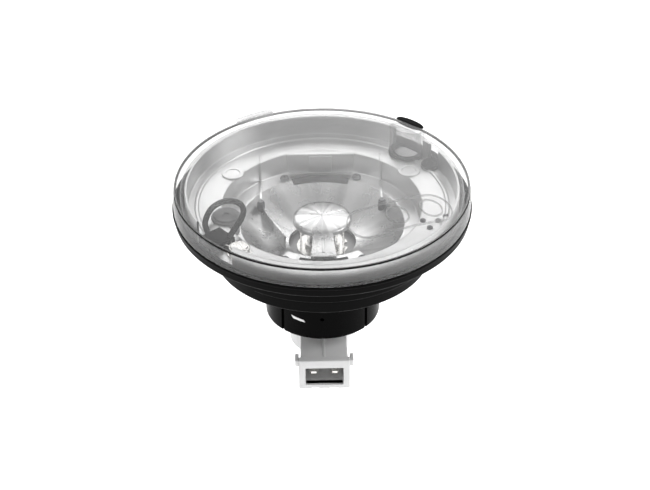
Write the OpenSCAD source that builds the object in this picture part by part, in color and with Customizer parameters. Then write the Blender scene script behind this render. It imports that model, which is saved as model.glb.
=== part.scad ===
// Round sealed underwater light: clear crowned lens on a black housing, plated reflector, capsule bulb in a
// white holder with a right-angle plug, and a black locking collar that clamps the holder into the neck.
// Z points along the light's axis towards the lens. The origin is the centre of the seat face under the rim.

/* [Lens] */
// Radius of the lens at its lower edge
lens_r = 52.5; // [52:0.1:52.7]
// Height of the lens band below the seal groove
lens_band_h = 3.1; // [2.8:0.1:3.3]
// Radius where the crown meets the skirt
crown_edge_r = 51.25; // [51:0.05:51.5]
// Rise of the crown above its edge
crown_rise = 9; // [8:0.5:11]
// Wall thickness of the lens
lens_wall = 2.2; // [1.8:0.1:2.4]
// Height of the raised marks moulded on the lens
mark_h = 0.35; // [0.2:0.05:0.5]
// Radius of the clear post moulded under the lens
post_r = 6.4; // [5:0.2:6.6]

/* [Housing] */
// Radius of the housing's rim band
rim_r = 52.8; // [52.7:0.1:53.2]
// Height of the rim band
rim_h = 4.5; // [4:0.1:5]
// Height from the seat face to the top of the rim
rim_top_z = 10.5; // [10:0.1:11]
// Outer radius of the flat seat face
seat_r = 46; // [45:0.2:47]
// Radius of the locating spigot below the seat
spigot_r = 42.3; // [41.8:0.1:42.8]
// Length of the spigot
spigot_h = 6.5; // [5:0.1:7]
// Radius of the barrel below the spigot
barrel_r = 38.8; // [38.4:0.1:39.4]
// Depth of the barrel's end below the seat
barrel_bottom_z = -13.3; // [-14:0.1:-13]
// Wall thickness of the housing
housing_wall = 2.2; // [1.8:0.1:2.4]

/* [Neck and collar] */
// Outer radius of the neck
neck_r = 19.8; // [19.4:0.1:20.2]
// Outer radius of the locking collar
collar_r = 20.5; // [20.2:0.1:20.8]
// Radius of the bore that takes the bulb holder
bore_r = 14.5; // [14.3:0.1:14.7]
// Height of the locking collar
collar_h = 12; // [11.5:0.1:12.5]
// Turn of the collar from locked to open
collar_turn = 45; // [42:1:50]
// Drop of the bulb holder over the collar's turn
cam_drop = 1.2; // [0.8:0.1:1.2]

/* [Reflector] */
// Radius of the bowl at its rim
bowl_r = 29.2; // [28.6:0.1:29.6]
// Radius of the hole in the bottom of the bowl
bowl_hole_r = 12; // [11.5:0.1:12.4]
// Height of the bowl's rim from the seat
bowl_rim_z = -1.4; // [-1.8:0.1:-1.2]
// Radius of the step between the field and the annulus
field_r = 34.6; // [34:0.1:34.8]
// Height of the annulus above the seat
annulus_z = 6.3; // [6.2:0.1:6.5]
// Outer radius of the reflector
reflector_r = 48.3; // [47.5:0.1:48.6]
// Sheet thickness of the reflector
sheet_t = 1.2; // [1:0.1:1.3]

/* [Bulb and shield] */
// Radius of the bulb's glass
glass_r = 5.5; // [5:0.1:6]
// Radius of the glare shield's cap
cap_r = 10.4; // [9.6:0.2:11]
// Width of the glare shield's strap
strap_w = 9; // [8:0.2:10]

/* [Plug] */
// Outer width of the plug shell
plug_w = 18.3; // [18:0.1:19]
// Outer height of the plug shell
plug_h = 12.4; // [12:0.1:13]
// Distance from the axis to the plug's mouth
plug_reach = 26.6; // [26:0.1:28]
// Width of the plug's mouth
mouth_w = 13.6; // [13.4:0.1:13.8]
// Height of the plug's mouth
mouth_h = 7.4; // [7:0.1:7.6]
// Depth of the plug's mouth
mouth_depth = 11; // [10:0.1:11.4]
// Width of each contact blade
blade_w = 2.8; // [2.6:0.1:2.9]
// Distance between the contact blades' centres
blade_pitch = 7.5; // [7.3:0.1:7.7]

/* [Hidden] */
$fn = 96;

// Lens
seat_wall_r = lens_r - 2.5;
groove_h = 0.7;
groove_top_z = rim_top_z + lens_band_h + groove_h;
crown_edge_z = rim_top_z + 5.05;
crown_ball_r = (pow(crown_edge_r, 2) + pow(crown_rise, 2)) / (2 * crown_rise);
crown_centre_z = crown_edge_z + crown_rise - crown_ball_r;
post_at = [31.6, 33.6];
post_foot_z = 7;
mark_pad_at = [26, -27.4];
mark_pad_turn = 27;
mark_pad_l = 40;
mark_pad_w = 13;

// Rubber pad and moulded tab on the edge of the lens
pad_angle = 49.4;
pad_arc = 13;
pad_in_r = crown_edge_r - 2.6;
pad_out_r = rim_r - 0.2;
pad_low_z = crown_edge_z - 0.9;
pad_top_z = crown_edge_z + 1.2;
tab_angle = 118;
tab_arc = 16;

// Housing and neck
rim_bottom_z = rim_top_z - rim_h;
floor_z = barrel_bottom_z + 2.5;
neck_step_z = -25.5;
neck_end_z = -33;
spout_r = 16.8;
bead_z = -28.5;
boss_r = 1.9;
rib_end_r = 33;
key_angle = 215;
key_arc = 39.5;
key_depth = 2.8;
// Each screw's distance from the axis, its angle and the height of its boss
screws = [[31.4, 65.5, -3.2], [31.4, 114.5, -3.2], [27.2, 240, -6], [27.2, 300, -6]];

// Collar
collar_top_z = neck_step_z - 0.3;
collar_bottom_z = collar_top_z - collar_h;
collar_fit = 0.3;
lug_arc = 40;
lug_count = 3;
lug_top_z = neck_end_z - 0.4;
lug_bottom_z = lug_top_z - 2;
lug_out_r = 16.6;
lug_steps = 4;

// Reflector bowl: a parabola through the rim and the hole
bowl_k = (bowl_rim_z + 9.5) / (pow(bowl_r, 2) - pow(bowl_hole_r, 2));
bowl_low_z = bowl_rim_z - bowl_k * pow(bowl_r, 2);
bowl_steps = 10;
slot_arc = 41;
pocket_z = annulus_z - 0.1;

// Small pieces on the reflector
stud_at = [21.7, 12.8];
stud_r = 1.4;
stud_top_z = -1;
vent_at = [39.4, 23.8];
membrane_at = [-33.7, -7.7];
membrane_r = 4.6;
rivets_at = [[34.9, -11.7], [37.1, -16.2], [40.2, -11.9], [43, -9.2]];

// Bulb and holder
holder_r = 14.2;
base_r = 11.9;
base_end_z = -51.6;
holder_top_z = -12.2;
disc_z = -11.9;
cap_z = 0.7;
glass_top_z = -5.5;
filament_z = -4.6;
rear_y = -plug_reach + mouth_depth + 6;

// Plug
plug_top_z = -42.9;
plug_bottom_z = plug_top_z - plug_h;
mouth_top_z = plug_top_z - 3.2;
blade_z = mouth_top_z - 4.2;
blade_t = 0.8;
blade_tip_y = -plug_reach + 3.2;

// Thermal cut-out and its lead, clipped to a bracket beside the lens
cutout_at = [-29, -30];
cutout_r = 3.7;
cutout_top_z = 9.5;
bracket_at = [-36.4, -24.4];
bracket_angle = 220;
lead_r = 1.05;
lead_sides = 10;
lead_route = [
    [-39.6, -21.2, 8.3], [-40.9, -15.4, 8.9], [-39.9, -10.2, 9.7], [-37.9, -6.8, 10.5],
    [-34.7, -4.7, 11.0], [-31.2, -4.8, 11.2], [-28.6, -6.9, 11.2], [-27.6, -10.4, 11.0],
    [-28.2, -14.6, 10.6], [-29.8, -18.4, 10.1], [-31.5, -22.0, 9.4], [-32.6, -24.6, 8.6]
];

function bowl_z(r) = bowl_low_z + bowl_k * r * r;
function unit(v) = v / norm(v);
// Direction of the lead at one of its points
function lead_dir(i) = unit(lead_route[min(i + 1, len(lead_route) - 1)] - lead_route[max(i - 1, 0)]);
function lead_side(i) = unit(cross(lead_dir(i), [0, 0, 1]));
function lead_up(i) = cross(lead_side(i), lead_dir(i));
function lead_ring(i) = [
    for (k = [0:lead_sides - 1])
        let (a = 360 * k / lead_sides)
            lead_route[i] + lead_r * (cos(a) * lead_side(i) + sin(a) * lead_up(i))
];

module at_angle(a, r) {
    rotate([0, 0, a]) translate([r, 0, 0]) children();
}

// A ring sector centred on angle a
module sector(r_in, r_out, z_low, z_high, a, arc) {
    rotate([0, 0, a - arc / 2])
        rotate_extrude(angle = arc)
            translate([r_in, z_low])
                square([r_out - r_in, z_high - z_low]);
}

module tube(r_out, r_in, z_low, z_high) {
    translate([0, 0, z_low]) difference() {
        cylinder(r = r_out, h = z_high - z_low);
        translate([0, 0, -1]) cylinder(r = r_in, h = z_high - z_low + 2);
    }
}

module oblong(l, w) {
    for (x = [-1, 1]) translate([x * (l - w) / 2, 0]) circle(d = w);
    square([l - w, w], center = true);
}

// The part of the crown within a shell that starts at radius r of the crown's ball
module crown_shell(r, t) {
    translate([0, 0, crown_centre_z]) difference() {
        sphere(r = r + t, $fn = 180);
        sphere(r = r, $fn = 180);
    }
}

module lens_marks() {
    intersection() {
        crown_shell(crown_ball_r - 0.1, mark_h + 0.1);
        union() {
            translate([mark_pad_at.x, mark_pad_at.y, 0]) rotate([0, 0, mark_pad_turn])
                linear_extrude(height = 40) difference() {
                    oblong(mark_pad_l, mark_pad_w);
                    oblong(mark_pad_l - 1.2, mark_pad_w - 1.2);
                }
            for (x = [-1, 12.3]) translate([mark_pad_at.x, mark_pad_at.y, 0])
                rotate([0, 0, mark_pad_turn]) translate([x, 0, 0]) tube(4.2, 3.6, 0, 40);
        }
    }
}

module lens() {
    color([0.86, 0.88, 0.88, 0.4]) {
        difference() {
            union() {
                rotate_extrude() polygon([
                    [seat_wall_r, rim_top_z], [lens_r, rim_top_z],
                    [lens_r - 0.3, rim_top_z + lens_band_h], [crown_edge_r, rim_top_z + lens_band_h],
                    [crown_edge_r, groove_top_z], [lens_r - 0.45, groove_top_z],
                    [crown_edge_r, crown_edge_z], [seat_wall_r, crown_edge_z - 0.3]
                ]);
                intersection() {
                    crown_shell(crown_ball_r - lens_wall, lens_wall);
                    translate([0, 0, crown_edge_z - 2.5]) cylinder(r = crown_edge_r - 0.02, h = 20);
                }
                intersection() {
                    translate([post_at.x, post_at.y, post_foot_z]) tube(post_r, post_r - 1.4, 0, 12);
                    translate([0, 0, crown_centre_z]) sphere(r = crown_ball_r - 1, $fn = 180);
                    rotate_extrude() polygon([
                        [0, 0], [seat_wall_r - 0.3, 0], [seat_wall_r - 0.3, rim_top_z + 0.5],
                        [seat_wall_r + 0.5, rim_top_z + 0.5], [seat_wall_r + 0.5, 40], [0, 40]
                    ]);
                }
            }
            sector(pad_in_r, rim_r + 1, pad_low_z, pad_low_z + 4, pad_angle, pad_arc);
        }
        sector(pad_in_r, rim_r + 0.4, crown_edge_z - 0.6, crown_edge_z + 1.2, tab_angle, tab_arc);
        lens_marks();
    }
}

module lens_seal() {
    color([0.03, 0.03, 0.03])
        tube(lens_r - 0.4, crown_edge_r, rim_top_z + lens_band_h, groove_top_z);
}

// Rubber pad that closes the notch in the edge of the lens
module rim_plug() {
    color([0.05, 0.05, 0.05])
        sector(pad_in_r, pad_out_r, pad_low_z, pad_top_z, pad_angle, pad_arc);
}

module housing() {
    color([0.07, 0.07, 0.07]) difference() {
        union() {
            rotate_extrude() polygon([
                [seat_wall_r, rim_top_z], [rim_r, rim_top_z], [rim_r, rim_bottom_z],
                [rim_r - 0.5, rim_bottom_z], [rim_r - 0.6, 3.2], [seat_r, 0], [spigot_r, 0],
                [spigot_r, -spigot_h], [barrel_r, -spigot_h], [barrel_r, barrel_bottom_z + 0.5],
                [barrel_r - 0.5, barrel_bottom_z], [neck_r, barrel_bottom_z], [neck_r, neck_step_z],
                [spout_r, neck_step_z], [spout_r, bead_z + 0.5], [spout_r + 0.6, bead_z + 0.2],
                [spout_r + 0.6, bead_z - 0.2], [spout_r, bead_z - 0.5], [spout_r, neck_end_z],
                [bore_r, neck_end_z], [bore_r, floor_z], [barrel_r - housing_wall, floor_z],
                [barrel_r - housing_wall, -3], [44.5, 3.2], [seat_wall_r, 5.4]
            ]);
            for (s = screws) at_angle(s[1], s[0])
                translate([0, 0, floor_z - 0.5]) cylinder(r = boss_r, h = s[2] - floor_z + 0.5);
            for (k = [0:5]) sector(neck_r - 0.1, rib_end_r, barrel_bottom_z - 1.4, barrel_bottom_z + 0.1,
                30 + 60 * k, 2.4);
        }
        sector(spigot_r - key_depth, spigot_r + 1, -spigot_h - 1, 0, key_angle, key_arc);
        for (s = screws) at_angle(s[1], s[0])
            translate([0, 0, floor_z + 1]) cylinder(r = 0.8, h = 10, $fn = 24);
    }
}

// Openings in the shelf in front of the bulb and at the foot of the rear wall
module bowl_slots() {
    sector(23.2, 28.4, bowl_rim_z - 7, bowl_rim_z + 1, 270, slot_arc);
    sector(bowl_r - 1.6, bowl_r + 3.1, bowl_rim_z - 7, bowl_rim_z + 1, 90, slot_arc);
}

module reflector_body() {
    inner = [for (i = [0:bowl_steps])
        let (r = bowl_hole_r + (bowl_r - bowl_hole_r) * i / bowl_steps) [r, bowl_z(r)]];
    outer = [for (i = [bowl_steps:-1:0])
        let (r = bowl_hole_r + (bowl_r - bowl_hole_r) * i / bowl_steps) [r + 0.9, bowl_z(r) - sheet_t]];
    rotate_extrude() polygon(concat(
        inner,
        [[field_r, bowl_rim_z], [field_r + 0.6, annulus_z], [reflector_r - 1, annulus_z],
         [reflector_r - 0.8, rim_top_z + 3], [reflector_r, rim_top_z + 3],
         [reflector_r, annulus_z - sheet_t], [field_r + 1.6, annulus_z - sheet_t],
         [field_r + 1, bowl_rim_z - sheet_t]],
        outer,
        [[bowl_hole_r + 0.9, floor_z], [bowl_hole_r, floor_z]]
    ));
}

// Wall behind the bowl, with a raised middle panel
module rear_wall() {
    wall_h = annulus_z - bowl_rim_z + 0.2;
    translate([-12.4, field_r - 2, bowl_rim_z - 0.2]) cube([24.8, 3.4, wall_h]);
    translate([-4.2, field_r - 2.5, bowl_rim_z + 0.6]) cube([8.4, 1, wall_h - 1.4]);
}

// Fins beside the bulb, ribs up the step behind them, and the slanting rib at the left
module bowl_ribs() {
    for (x = [-stud_at.x, stud_at.x]) {
        translate([x - 0.4, stud_at.y + 1.6, bowl_rim_z - 3.8]) cube([0.8, 13, 4.5]);
        translate([x - 0.4, 26.4, bowl_rim_z + 0.4]) cube([0.8, 5.2, annulus_z - bowl_rim_z + 0.3]);
    }
    translate([-22.4, 14.8, -8.8]) rotate([0, 0, -66.9]) cube([22.5, 0.8, 5.6]);
}

module reflector() {
    color([0.8, 0.82, 0.84]) difference() {
        union() {
            reflector_body();
            rear_wall();
            bowl_ribs();
            sector(21.4, bowl_r + 0.2, bowl_rim_z - sheet_t, bowl_rim_z, 270, 69);
            for (x = [-31.6, 31.6]) translate([x, 20.5, annulus_z - 0.2]) cylinder(r = 4, h = 0.8);
        }
        bowl_slots();
        for (s = screws) at_angle(s[1], s[0])
            translate([0, 0, bowl_rim_z - 6]) cylinder(r = 1.05, h = 12, $fn = 24);
        for (x = [-stud_at.x, stud_at.x])
            translate([x, stud_at.y, -9]) cylinder(r = stud_r, h = 15, $fn = 32);
        translate([post_at.x, post_at.y, pocket_z]) cylinder(r = post_r + 0.4, h = 10);
        translate([cutout_at.x, cutout_at.y, annulus_z - 5]) cylinder(r = cutout_r + 0.1, h = 7);
        translate([cutout_at.x, cutout_at.y, pocket_z]) cylinder(r = cutout_r + 1, h = 10);
        rotate([0, 0, bracket_angle]) translate([reflector_r - 5.4, -12, pocket_z]) cube([8, 20, 9]);
        translate([vent_at.x, vent_at.y, annulus_z - 5]) cylinder(r = 2, h = 12);
        translate([vent_at.x, vent_at.y, pocket_z]) cylinder(r = 3.4, h = 10);
        translate([membrane_at.x, membrane_at.y, -0.2]) cylinder(r = membrane_r + 0.05, h = 16);
    }
}

module reflector_screws() {
    color([0.12, 0.12, 0.12]) for (s = screws) at_angle(s[1], s[0]) {
        difference() {
            translate([0, 0, bowl_rim_z]) cylinder(r = 1.7, h = 1);
            for (t = [0, 90]) rotate([0, 0, t])
                translate([-1.1, -0.2, bowl_rim_z + 0.5]) cube([2.2, 0.4, 1]);
        }
        translate([0, 0, bowl_rim_z - 7]) cylinder(r = 0.8, h = 7.1, $fn = 24);
    }
}

// Cap over the bulb's tip, held by one strap from the front slot
module glare_shield() {
    strap_end = 24.3;
    dome_r = 56;
    color([0.72, 0.74, 0.76]) {
        tube(cap_r, cap_r - 0.7, cap_z - 1.6, cap_z + 0.1);
        intersection() {
            translate([0, 0, cap_z + 0.9 - dome_r]) difference() {
                sphere(r = dome_r, $fn = 120);
                sphere(r = dome_r - 0.6, $fn = 120);
            }
            translate([0, 0, cap_z - 0.2]) cylinder(r = cap_r, h = 3);
        }
        translate([0, 0, cap_z - 0.9]) linear_extrude(height = 0.7) polygon([
            [-strap_w / 2 + 1, -cap_r + 0.3], [strap_w / 2 - 1, -cap_r + 0.3],
            [strap_w / 2, -strap_end], [-strap_w / 2, -strap_end]
        ]);
        translate([-strap_w / 2, -strap_end, cap_z - 4.5]) cube([strap_w, 0.7, 4]);
    }
}

module bowl_studs() {
    color([0.1, 0.1, 0.1]) for (x = [-stud_at.x, stud_at.x]) translate([x, stud_at.y, 0]) {
        translate([0, 0, stud_top_z - 6]) cylinder(r = stud_r, h = 6, $fn = 32);
        translate([0, 0, stud_top_z]) cylinder(r = stud_r - 0.3, h = 0.6, $fn = 32);
    }
}

// Soft washer between the clear post and the reflector
module post_washer() {
    color([0.15, 0.15, 0.15]) intersection() {
        translate([post_at.x, post_at.y, 0]) tube(post_r + 0.3, post_r - 1.9, pocket_z, post_foot_z);
        cylinder(r = seat_wall_r - 0.3, h = 40);
    }
}

// Upper half of a ball, with a short skirt below its middle
module dome(r) {
    intersection() {
        sphere(r = r);
        translate([0, 0, -1]) cylinder(r = r + 1, h = r + 2);
    }
}

module bulb_glass() {
    color([0.9, 0.93, 0.95, 0.35]) difference() {
        union() {
            translate([0, 0, -9.5]) cylinder(r = glass_r, h = 9.5 + glass_top_z);
            translate([0, 0, glass_top_z]) dome(glass_r);
            translate([-4.5, -1.6, disc_z + 0.8]) cube([9, 3.2, 2.4]);
        }
        translate([0, 0, -7.5]) cylinder(r = glass_r - 0.8, h = 7.5 + glass_top_z);
        translate([0, 0, glass_top_z]) dome(glass_r - 0.8);
    }
}

// Coiled tungsten between its two support wires
module bulb_filament() {
    color([0.55, 0.5, 0.45]) {
        for (k = [0:8]) translate([-2.4 + 0.6 * k, 0, filament_z]) rotate([0, 90, 0])
            tube(0.75, 0.45, -0.18, 0.18);
        translate([-2.8, 0, filament_z]) rotate([0, 90, 0]) cylinder(r = 0.46, h = 5.6, $fn = 24);
        for (x = [-2.8, 2.8]) translate([x, 0, -7.5]) cylinder(r = 0.3, h = filament_z + 7.8, $fn = 24);
    }
}

module bulb_pins() {
    color([0.75, 0.68, 0.5]) for (x = [-blade_pitch / 2, blade_pitch / 2])
        translate([x, 0, -16]) cylinder(r = 0.6, h = 16.8 + disc_z, $fn = 24);
}

module bulb_base_disc() {
    color([0.75, 0.75, 0.72]) translate([0, 0, disc_z]) difference() {
        union() {
            cylinder(r = 9, h = 0.8);
            cylinder(r = 6.2, h = 2.4);
        }
        translate([-4.5, -1.6, 0.8]) cube([9, 3.2, 4]);
        for (x = [-blade_pitch / 2, blade_pitch / 2])
            translate([x, 0, -1]) cylinder(r = 0.6, h = 4, $fn = 24);
        translate([7.6, -1.5, -1]) cube([3, 3, 4]);
    }
}

// Wire bail that holds the bulb's disc down on the holder
module base_spring_clip() {
    color([0.8, 0.8, 0.82]) {
        for (x = [-7.6, 7.6]) translate([x, -7.5, disc_z + 1.2]) rotate([-90, 0, 0])
            cylinder(r = 0.4, h = 15, $fn = 24);
        translate([-8, -7.5, disc_z + 1.2]) rotate([0, 90, 0]) cylinder(r = 0.4, h = 16, $fn = 24);
    }
}

module bulb_holder() {
    color([0.93, 0.93, 0.91]) difference() {
        union() {
            translate([0, 0, -21]) cylinder(r = holder_r, h = 21 + holder_top_z + 0.3);
            translate([0, 0, -23.4]) cylinder(r = holder_r - 1.4, h = 2.6);
            translate([0, 0, lug_bottom_z]) cylinder(r = holder_r, h = -23.2 - lug_bottom_z);
            for (k = [0:lug_count - 1])
                sector(holder_r - 0.5, lug_out_r, lug_bottom_z, lug_top_z, 90 + 120 * k, lug_arc);
            rotate_extrude() polygon([
                [0, base_end_z], [base_r - 0.8, base_end_z], [base_r, base_end_z + 0.8],
                [base_r, lug_bottom_z + 0.1], [0, lug_bottom_z + 0.1]
            ]);
        }
        translate([0, 0, -32]) cylinder(r = 11.4, h = 16.2);
        for (x = [-blade_pitch / 2, blade_pitch / 2]) {
            translate([x, 0, -16.2]) cylinder(r = 0.75, h = 6, $fn = 24);
            translate([x - 1.6, -1, blade_z - 0.6]) cube([3.2, 2, -30 - blade_z]);
            translate([x - 1.6, -base_r - 1, blade_z - 0.6]) cube([3.2, base_r + 2, 1.2]);
        }
    }
}

module holder_seal() {
    color([0.1, 0.1, 0.1]) tube(bore_r - 0.05, holder_r - 1.4, -23.2, -21);
}

module blade(x) {
    color([0.86, 0.8, 0.6]) translate([x, 0, blade_z]) difference() {
        translate([-blade_w / 2, blade_tip_y, -blade_t / 2])
            cube([blade_w, rear_y - blade_tip_y, blade_t]);
        for (s = [-1, 1]) translate([s * blade_w / 2, blade_tip_y, -1])
            rotate([0, 0, 45]) cube([0.7, 0.7, 4], center = true);
        translate([0, blade_tip_y + 2.4, -1]) cylinder(r = 0.6, h = 2, $fn = 24);
    }
}

module contact_blade_left() { blade(-blade_pitch / 2); }
module contact_blade_right() { blade(blade_pitch / 2); }

// Brass strip from the rear of a blade up to the bulb's pin
module strip(x) {
    color([0.8, 0.7, 0.4]) {
        translate([x - 1.2, rear_y, blade_z - 0.4]) cube([2.4, -rear_y + 0.4, 0.8]);
        translate([x - 1.2, -0.4, blade_z - 0.4]) cube([2.4, 0.8, -16.6 - blade_z]);
        translate([x - 1.5, -1.4, -17.4]) cube([3, 2.8, 1.4]);
    }
}

module terminal_strip_left() { strip(-blade_pitch / 2); }
module terminal_strip_right() { strip(blade_pitch / 2); }

module plug_shell() {
    mouth_y = -plug_reach;
    root_y = -6;
    color([0.95, 0.95, 0.93]) difference() {
        union() {
            translate([-plug_w / 2 + 0.7, mouth_y + 1, plug_bottom_z + 0.5])
                cube([plug_w - 1.4, root_y - mouth_y - 1, plug_h - 0.9]);
            translate([-plug_w / 2, mouth_y, plug_bottom_z]) cube([plug_w, 2.8, plug_h]);
            for (s = [-1, 1]) translate([s * (plug_w / 2 + 0.6) - 0.7, mouth_y + 0.8, plug_top_z - 3])
                cube([1.4, 4.5, 2.6]);
            translate([-0.4, mouth_y + 2, plug_top_z - 1]) cube([0.8, root_y - mouth_y - 2, 0.9]);
        }
        translate([-mouth_w / 2, mouth_y - 1, mouth_top_z - mouth_h])
            cube([mouth_w, mouth_depth + 1, mouth_h]);
        for (s = [-1, 1]) translate([s * 3.3 - 1.4, mouth_y - 1, plug_bottom_z - 1]) cube([2.8, 3.2, 1.5]);
        for (x = [-blade_pitch / 2, blade_pitch / 2])
            translate([x - blade_w / 2, mouth_y + 1, blade_z - blade_t / 2]) cube([blade_w, 30, blade_t]);
        translate([0, 0, base_end_z]) cylinder(r = base_r, h = 40);
    }
}

// Collar with stepped lugs inside that draw the holder up, and grip slots outside
module locking_collar() {
    color([0.06, 0.06, 0.06]) difference() {
        union() {
            tube(collar_r, spout_r + collar_fit, collar_bottom_z, collar_top_z);
            tube(collar_r, lug_out_r + collar_fit, collar_bottom_z, neck_end_z - 0.3);
            for (k = [0:lug_count - 1], i = [0:lug_steps - 1]) {
                step_arc = lug_arc * (1 - i / lug_steps);
                top = lug_bottom_z - 0.15 - cam_drop * step_arc / collar_turn;
                sector(bore_r, lug_out_r + 1, collar_bottom_z, top,
                    90 + 120 * k - (lug_arc - step_arc) / 2, step_arc);
            }
        }
        tube(spout_r + 1, spout_r, bead_z - 0.8, bead_z + 0.8);
        for (a = [225, 317.5])
            sector(collar_r - 0.7, collar_r + 1, collar_bottom_z - 1, collar_top_z + 1, a, 3.4);
        for (a = [60:12:120])
            sector(collar_r - 0.5, collar_r + 1, collar_bottom_z + 2, collar_top_z - 2, a, 3);
        rotate([0, 0, 243.4]) translate([collar_r - 0.6, 0, collar_top_z]) rotate([90, 0, 90])
            linear_extrude(height = 2) polygon([[-2.9, -3.4], [2.2, -4.3], [2.9, -5.3], [-1.9, -4.6]]);
        translate([-0.6, 0, collar_top_z - 3.5]) rotate([90, 0, 0]) translate([0, 0, collar_r - 0.5])
            cylinder(r = 0.7, h = 2, $fn = 24);
    }
}

module thermal_cutout() {
    color([0.75, 0.75, 0.77]) translate([cutout_at.x, cutout_at.y, 0]) {
        translate([0, 0, cutout_top_z - 5.4]) cylinder(r = cutout_r, h = 4.9);
        translate([0, 0, cutout_top_z - 0.5]) cylinder(r = cutout_r - 0.6, h = 0.5);
        translate([0, 0, pocket_z]) cylinder(r = cutout_r + 0.7, h = 0.5);
    }
}

// Block by the rim that grips both ends of the lead
module cutout_bracket() {
    color([0.06, 0.06, 0.06]) difference() {
        union() {
            translate([bracket_at.x, bracket_at.y, annulus_z]) rotate([0, 0, bracket_angle - 180])
                translate([-4.4, -3.4, 0]) cube([9.2, 8.4, 2.6]);
            translate([bracket_at.x - 1, bracket_at.y - 3, annulus_z]) cylinder(r = 2.4, h = 3.2);
        }
        translate([cutout_at.x, cutout_at.y, 0]) cylinder(r = cutout_r + 0.8, h = 40);
    }
}

module cutout_lead() {
    count = len(lead_route);
    rings = [for (i = [0:count - 1]) each lead_ring(i)];
    sides = [
        for (i = [0:count - 2], k = [0:lead_sides - 1])
            let (a = i * lead_sides + k, b = i * lead_sides + (k + 1) % lead_sides)
                [a, b, b + lead_sides, a + lead_sides]
    ];
    first = [for (k = [lead_sides - 1:-1:0]) k];
    last = [for (k = [0:lead_sides - 1]) (count - 1) * lead_sides + k];
    color([0.04, 0.04, 0.04]) polyhedron(points = rings, faces = concat(sides, [first, last]));
}

// Bare tails from the cut-out to its bracket
module cutout_pins() {
    color([0.9, 0.9, 0.9]) for (a = [124, 148])
        translate([cutout_at.x, cutout_at.y, cutout_top_z - 1.6]) rotate([0, 0, a])
            translate([cutout_r - 0.7, 0, 0]) rotate([0, 90, 0]) cylinder(r = 0.35, h = 4, $fn = 24);
}

module vent_plug() {
    color([0.08, 0.08, 0.08]) translate([vent_at.x, vent_at.y, pocket_z]) difference() {
        union() {
            cylinder(r = 3.2, h = 1.6);
            translate([0, 0, -1.3]) cylinder(r = 1.95, h = 1.4);
        }
        translate([0, 0, 0.8]) cylinder(r = 1.1, h = 2);
    }
}

// Round cap with a dimple, inside the loop of the lead, on a stem through the reflector
module membrane_cap() {
    color([0.6, 0.6, 0.6]) translate([membrane_at.x, membrane_at.y, 0]) difference() {
        union() {
            translate([0, 0, 0.3]) cylinder(r = membrane_r, h = annulus_z + 1.2);
            translate([0, 0, annulus_z]) cylinder(r = membrane_r + 0.7, h = 0.6);
        }
        translate([0, 0, annulus_z + 0.9]) cylinder(r = 0.9, h = 2);
    }
}

module plate_rivets() {
    color([0.1, 0.1, 0.1]) for (p = rivets_at) translate([p.x, p.y, annulus_z]) {
        cylinder(r = 1.1, h = 0.4, $fn = 24);
        translate([0, 0, 0.4]) cylinder(r = 0.7, h = 0.4, $fn = 24);
    }
}

lens();
lens_seal();
rim_plug();
housing();
reflector();
reflector_screws();
glare_shield();
bowl_studs();
post_washer();
bulb_glass();
bulb_filament();
bulb_pins();
bulb_base_disc();
base_spring_clip();
bulb_holder();
holder_seal();
contact_blade_left();
contact_blade_right();
terminal_strip_left();
terminal_strip_right();
plug_shell();
locking_collar();
thermal_cutout();
cutout_bracket();
cutout_lead();
cutout_pins();
vent_plug();
membrane_cap();
plate_rivets();
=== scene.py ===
import math
import bpy
import bmesh
from mathutils import Matrix, Vector


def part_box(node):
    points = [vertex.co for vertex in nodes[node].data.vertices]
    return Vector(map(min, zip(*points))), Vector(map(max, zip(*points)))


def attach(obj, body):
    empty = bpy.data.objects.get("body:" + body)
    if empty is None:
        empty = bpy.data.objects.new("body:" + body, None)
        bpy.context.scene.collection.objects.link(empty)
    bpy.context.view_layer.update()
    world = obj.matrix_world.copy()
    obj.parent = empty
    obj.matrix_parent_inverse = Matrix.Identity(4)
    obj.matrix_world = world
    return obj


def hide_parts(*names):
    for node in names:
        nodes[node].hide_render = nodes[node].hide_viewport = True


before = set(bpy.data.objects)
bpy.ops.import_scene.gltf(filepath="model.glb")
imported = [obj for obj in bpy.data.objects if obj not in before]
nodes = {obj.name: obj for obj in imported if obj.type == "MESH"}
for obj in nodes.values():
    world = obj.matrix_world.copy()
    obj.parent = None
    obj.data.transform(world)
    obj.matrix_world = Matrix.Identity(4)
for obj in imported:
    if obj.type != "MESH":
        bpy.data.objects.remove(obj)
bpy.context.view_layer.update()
mm = 0.001
print("frame loaded:", len(nodes), "nodes")


def spanOf(node):
    low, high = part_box(node)
    return low / mm, high / mm


lensLow, lensHigh = spanOf("lens")
housingLow, housingHigh = spanOf("housing")
collarLow, collarHigh = spanOf("locking_collar")

rimTop = lensLow.z                      # where the lens sits on the housing
lensRadius = lensHigh.x
rimRadius = housingHigh.x
neckEnd = housingLow.z
collarRadius = collarHigh.x


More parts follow.
